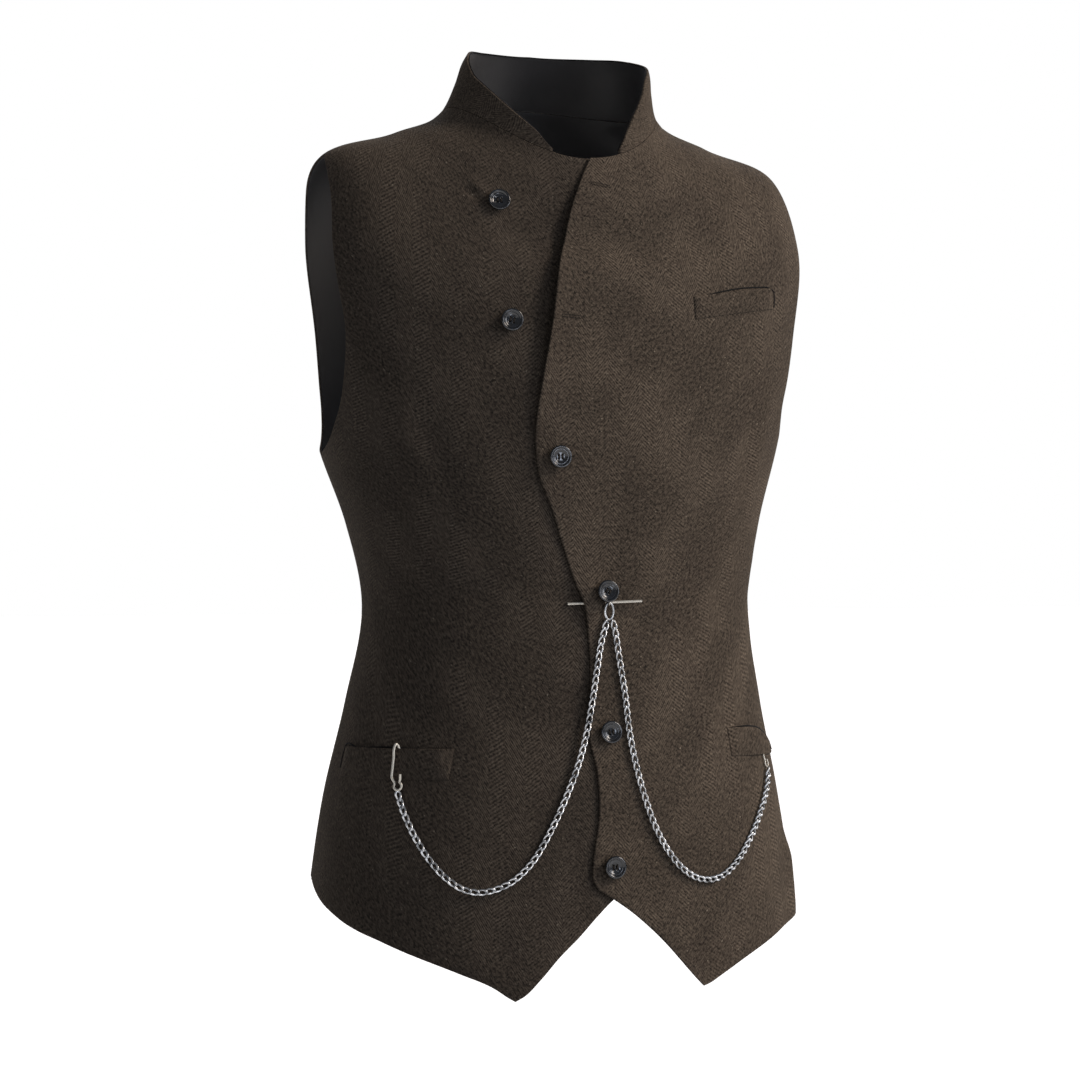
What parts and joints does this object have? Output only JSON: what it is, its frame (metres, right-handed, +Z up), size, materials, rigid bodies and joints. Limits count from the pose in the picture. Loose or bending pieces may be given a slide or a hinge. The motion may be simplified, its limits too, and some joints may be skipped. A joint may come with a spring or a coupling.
{
  "type": "tweed vest with watch chain",
  "caption": "Sleeveless tweed folk vest with stand collar, lapped pointed front, welt pockets, dark buttons and a double watch chain, hollow as worn.",
  "frame": {"origin": "midway between the shoulder seams at their height, where the wearer's shoulders carry the vest", "axes": "+Z up along the wearer, +X towards the wearer's left, the front faces -Y"},
  "size_m": [0.3847, 0.2505, 0.7146],
  "materials": {
    "tweed": "brown-black herringbone wool tweed, smooth and firm",
    "button_resin": "polished dark resin",
    "chain_steel": "polished pale metal"
  },
  "bodies": {
    "root": {"front_right": "tweed", "front_left": "tweed", "back": "tweed", "collar": "tweed", "welt_breast": "tweed", "welt_hip_right": "tweed", "welt_hip_left": "tweed", "button_1": "button_resin", "button_2": "button_resin", "button_3": "button_resin", "button_4": "button_resin", "button_5": "button_resin", "button_6": "button_resin", "chain_bar": "chain_steel", "chain_bail": "chain_steel", "chain_right": "chain_steel", "chain_left": "chain_steel", "hook_right": "chain_steel", "hook_left": "chain_steel"}
  },
  "joints": []
}
